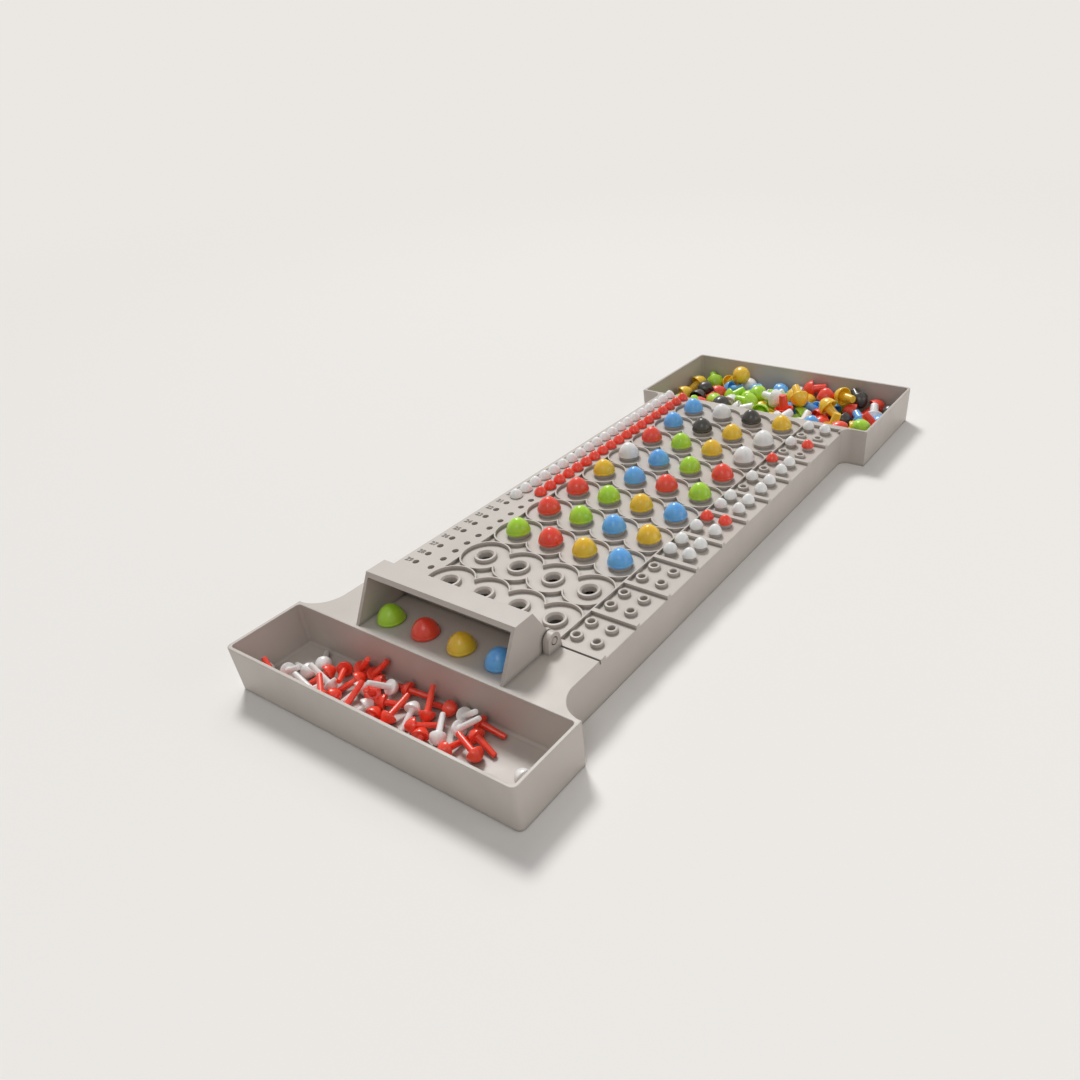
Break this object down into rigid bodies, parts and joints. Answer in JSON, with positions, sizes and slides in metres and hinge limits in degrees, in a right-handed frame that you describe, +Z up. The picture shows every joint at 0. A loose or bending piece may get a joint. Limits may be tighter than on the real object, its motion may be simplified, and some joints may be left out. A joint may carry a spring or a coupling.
{
  "type": "code breaking peg game",
  "caption": "Tabletop peg board with rows of code holes, a key panel, a score tracker, a hinged code hood, two peg trays and lift-out domed pegs.",
  "frame": {"origin": "middle of the footprint, on the table", "axes": "+Z up, +Y from the code maker's small tray towards the large peg tray, +X towards the key panel"},
  "size_m": [0.154, 0.389, 0.0425],
  "materials": {
    "board_grey": "fine satin moulding texture, warm grey",
    "peg_green": "glossy moulded plastic",
    "peg_red": "glossy moulded plastic",
    "peg_yellow": "glossy moulded plastic",
    "peg_blue": "glossy moulded plastic",
    "peg_white": "glossy moulded plastic",
    "peg_black": "glossy moulded plastic"
  },
  "bodies": {
    "board": {"play_deck": "board_grey", "side_wall_left": "board_grey", "side_wall_right": "board_grey", "near_tray": "board_grey", "far_tray": "board_grey", "hinge_ear_left": "board_grey", "hinge_ear_right": "board_grey"},
    "hood": {"code_shield": "board_grey"},
    "secret_1": {"secret_peg_1": "peg_green"},
    "secret_2": {"secret_peg_2": "peg_red"},
    "secret_3": {"secret_peg_3": "peg_yellow"},
    "secret_4": {"secret_peg_4": "peg_blue"},
    "code_3_1": {"code_peg_3_1": "peg_green"},
    "code_3_2": {"code_peg_3_2": "peg_red"},
    "code_3_3": {"code_peg_3_3": "peg_yellow"},
    "code_3_4": {"code_peg_3_4": "peg_blue"},
    "code_4_1": {"code_peg_4_1": "peg_red"},
    "code_4_2": {"code_peg_4_2": "peg_green"},
    "code_4_3": {"code_peg_4_3": "peg_blue"},
    "code_4_4": {"code_peg_4_4": "peg_yellow"},
    "code_5_1": {"code_peg_5_1": "peg_red"},
    "code_5_2": {"code_peg_5_2": "peg_green"},
    "code_5_3": {"code_peg_5_3": "peg_yellow"},
    "code_5_4": {"code_peg_5_4": "peg_blue"},
    "code_6_1": {"code_peg_6_1": "peg_yellow"},
    "code_6_2": {"code_peg_6_2": "peg_blue"},
    "code_6_3": {"code_peg_6_3": "peg_red"},
    "code_6_4": {"code_peg_6_4": "peg_green"},
    "code_7_1": {"code_peg_7_1": "peg_white"},
    "code_7_2": {"code_peg_7_2": "peg_blue"},
    "code_7_3": {"code_peg_7_3": "peg_green"},
    "code_7_4": {"code_peg_7_4": "peg_red"},
    "code_8_1": {"code_peg_8_1": "peg_red"},
    "code_8_2": {"code_peg_8_2": "peg_green"},
    "code_8_3": {"code_peg_8_3": "peg_yellow"},
    "code_8_4": {"code_peg_8_4": "peg_white"},
    "code_9_1": {"code_peg_9_1": "peg_blue"},
    "code_9_2": {"code_peg_9_2": "peg_black"},
    "code_9_3": {"code_peg_9_3": "peg_yellow"},
    "code_9_4": {"code_peg_9_4": "peg_white"},
    "code_10_1": {"code_peg_10_1": "peg_blue"},
    "code_10_2": {"code_peg_10_2": "peg_white"},
    "code_10_3": {"code_peg_10_3": "peg_black"},
    "code_10_4": {"code_peg_10_4": "peg_yellow"},
    "key_4_1": {"key_peg_4_1": "peg_white"},
    "key_4_2": {"key_peg_4_2": "peg_white"},
    "key_4_3": {"key_peg_4_3": "peg_white"},
    "key_4_4": {"key_peg_4_4": "peg_white"},
    "key_5_1": {"key_peg_5_1": "peg_red"},
    "key_5_2": {"key_peg_5_2": "peg_red"},
    "key_5_3": {"key_peg_5_3": "peg_white"},
    "key_5_4": {"key_peg_5_4": "peg_white"},
    "key_6_1": {"key_peg_6_1": "peg_white"},
    "key_6_2": {"key_peg_6_2": "peg_white"},
    "key_6_3": {"key_peg_6_3": "peg_white"},
    "key_6_4": {"key_peg_6_4": "peg_white"},
    "key_7_1": {"key_peg_7_1": "peg_white"},
    "key_7_2": {"key_peg_7_2": "peg_white"},
    "key_7_4": {"key_peg_7_4": "peg_white"}
  },
  "joints": [
    {"name": "hood_hinge", "type": "hinge", "parent": "board", "child": "hood", "pos_m": [0, -0.13, 0.0265], "axis": [-1, 0, 0], "range_deg": [0, 120]},
    {"name": "secret_1_lift", "type": "slide", "parent": "board", "child": "secret_1", "axis": [0, 0, 1], "range_m": [0, 0.01]},
    {"name": "secret_2_lift", "type": "slide", "parent": "board", "child": "secret_2", "axis": [0, 0, 1], "range_m": [0, 0.01]},
    {"name": "secret_3_lift", "type": "slide", "parent": "board", "child": "secret_3", "axis": [0, 0, 1], "range_m": [0, 0.01]},
    {"name": "secret_4_lift", "type": "slide", "parent": "board", "child": "secret_4", "axis": [0, 0, 1], "range_m": [0, 0.01]},
    {"name": "code_3_1_lift", "type": "slide", "parent": "board", "child": "code_3_1", "axis": [0, 0, 1], "range_m": [0, 0.04]},
    {"name": "code_3_2_lift", "type": "slide", "parent": "board", "child": "code_3_2", "axis": [0, 0, 1], "range_m": [0, 0.04]},
    {"name": "code_3_3_lift", "type": "slide", "parent": "board", "child": "code_3_3", "axis": [0, 0, 1], "range_m": [0, 0.04]},
    {"name": "code_3_4_lift", "type": "slide", "parent": "board", "child": "code_3_4", "axis": [0, 0, 1], "range_m": [0, 0.04]},
    {"name": "code_4_1_lift", "type": "slide", "parent": "board", "child": "code_4_1", "axis": [0, 0, 1], "range_m": [0, 0.04]},
    {"name": "code_4_2_lift", "type": "slide", "parent": "board", "child": "code_4_2", "axis": [0, 0, 1], "range_m": [0, 0.04]},
    {"name": "code_4_3_lift", "type": "slide", "parent": "board", "child": "code_4_3", "axis": [0, 0, 1], "range_m": [0, 0.04]},
    {"name": "code_4_4_lift", "type": "slide", "parent": "board", "child": "code_4_4", "axis": [0, 0, 1], "range_m": [0, 0.04]},
    {"name": "code_5_1_lift", "type": "slide", "parent": "board", "child": "code_5_1", "axis": [0, 0, 1], "range_m": [0, 0.04]},
    {"name": "code_5_2_lift", "type": "slide", "parent": "board", "child": "code_5_2", "axis": [0, 0, 1], "range_m": [0, 0.04]},
    {"name": "code_5_3_lift", "type": "slide", "parent": "board", "child": "code_5_3", "axis": [0, 0, 1], "range_m": [0, 0.04]},
    {"name": "code_5_4_lift", "type": "slide", "parent": "board", "child": "code_5_4", "axis": [0, 0, 1], "range_m": [0, 0.04]},
    {"name": "code_6_1_lift", "type": "slide", "parent": "board", "child": "code_6_1", "axis": [0, 0, 1], "range_m": [0, 0.04]},
    {"name": "code_6_2_lift", "type": "slide", "parent": "board", "child": "code_6_2", "axis": [0, 0, 1], "range_m": [0, 0.04]},
    {"name": "code_6_3_lift", "type": "slide", "parent": "board", "child": "code_6_3", "axis": [0, 0, 1], "range_m": [0, 0.04]},
    {"name": "code_6_4_lift", "type": "slide", "parent": "board", "child": "code_6_4", "axis": [0, 0, 1], "range_m": [0, 0.04]},
    {"name": "code_7_1_lift", "type": "slide", "parent": "board", "child": "code_7_1", "axis": [0, 0, 1], "range_m": [0, 0.04]},
    {"name": "code_7_2_lift", "type": "slide", "parent": "board", "child": "code_7_2", "axis": [0, 0, 1], "range_m": [0, 0.04]},
    {"name": "code_7_3_lift", "type": "slide", "parent": "board", "child": "code_7_3", "axis": [0, 0, 1], "range_m": [0, 0.04]},
    {"name": "code_7_4_lift", "type": "slide", "parent": "board", "child": "code_7_4", "axis": [0, 0, 1], "range_m": [0, 0.04]},
    {"name": "code_8_1_lift", "type": "slide", "parent": "board", "child": "code_8_1", "axis": [0, 0, 1], "range_m": [0, 0.04]},
    {"name": "code_8_2_lift", "type": "slide", "parent": "board", "child": "code_8_2", "axis": [0, 0, 1], "range_m": [0, 0.04]},
    {"name": "code_8_3_lift", "type": "slide", "parent": "board", "child": "code_8_3", "axis": [0, 0, 1], "range_m": [0, 0.04]},
    {"name": "code_8_4_lift", "type": "slide", "parent": "board", "child": "code_8_4", "axis": [0, 0, 1], "range_m": [0, 0.04]},
    {"name": "code_9_1_lift", "type": "slide", "parent": "board", "child": "code_9_1", "axis": [0, 0, 1], "range_m": [0, 0.04]},
    {"name": "code_9_2_lift", "type": "slide", "parent": "board", "child": "code_9_2", "axis": [0, 0, 1], "range_m": [0, 0.04]},
    {"name": "code_9_3_lift", "type": "slide", "parent": "board", "child": "code_9_3", "axis": [0, 0, 1], "range_m": [0, 0.04]},
    {"name": "code_9_4_lift", "type": "slide", "parent": "board", "child": "code_9_4", "axis": [0, 0, 1], "range_m": [0, 0.04]},
    {"name": "code_10_1_lift", "type": "slide", "parent": "board", "child": "code_10_1", "axis": [0, 0, 1], "range_m": [0, 0.04]},
    {"name": "code_10_2_lift", "type": "slide", "parent": "board", "child": "code_10_2", "axis": [0, 0, 1], "range_m": [0, 0.04]},
    {"name": "code_10_3_lift", "type": "slide", "parent": "board", "child": "code_10_3", "axis": [0, 0, 1], "range_m": [0, 0.04]},
    {"name": "code_10_4_lift", "type": "slide", "parent": "board", "child": "code_10_4", "axis": [0, 0, 1], "range_m": [0, 0.04]},
    {"name": "key_4_1_lift", "type": "slide", "parent": "board", "child": "key_4_1", "axis": [0, 0, 1], "range_m": [0, 0.04]},
    {"name": "key_4_2_lift", "type": "slide", "parent": "board", "child": "key_4_2", "axis": [0, 0, 1], "range_m": [0, 0.04]},
    {"name": "key_4_3_lift", "type": "slide", "parent": "board", "child": "key_4_3", "axis": [0, 0, 1], "range_m": [0, 0.04]},
    {"name": "key_4_4_lift", "type": "slide", "parent": "board", "child": "key_4_4", "axis": [0, 0, 1], "range_m": [0, 0.04]},
    {"name": "key_5_1_lift", "type": "slide", "parent": "board", "child": "key_5_1", "axis": [0, 0, 1], "range_m": [0, 0.04]},
    {"name": "key_5_2_lift", "type": "slide", "parent": "board", "child": "key_5_2", "axis": [0, 0, 1], "range_m": [0, 0.04]},
    {"name": "key_5_3_lift", "type": "slide", "parent": "board", "child": "key_5_3", "axis": [0, 0, 1], "range_m": [0, 0.04]},
    {"name": "key_5_4_lift", "type": "slide", "parent": "board", "child": "key_5_4", "axis": [0, 0, 1], "range_m": [0, 0.04]},
    {"name": "key_6_1_lift", "type": "slide", "parent": "board", "child": "key_6_1", "axis": [0, 0, 1], "range_m": [0, 0.04]},
    {"name": "key_6_2_lift", "type": "slide", "parent": "board", "child": "key_6_2", "axis": [0, 0, 1], "range_m": [0, 0.04]},
    {"name": "key_6_3_lift", "type": "slide", "parent": "board", "child": "key_6_3", "axis": [0, 0, 1], "range_m": [0, 0.04]},
    {"name": "key_6_4_lift", "type": "slide", "parent": "board", "child": "key_6_4", "axis": [0, 0, 1], "range_m": [0, 0.04]},
    {"name": "key_7_1_lift", "type": "slide", "parent": "board", "child": "key_7_1", "axis": [0, 0, 1], "range_m": [0, 0.04]},
    {"name": "key_7_2_lift", "type": "slide", "parent": "board", "child": "key_7_2", "axis": [0, 0, 1], "range_m": [0, 0.04]},
    {"name": "key_7_4_lift", "type": "slide", "parent": "board", "child": "key_7_4", "axis": [0, 0, 1], "range_m": [0, 0.04]}
  ]
}
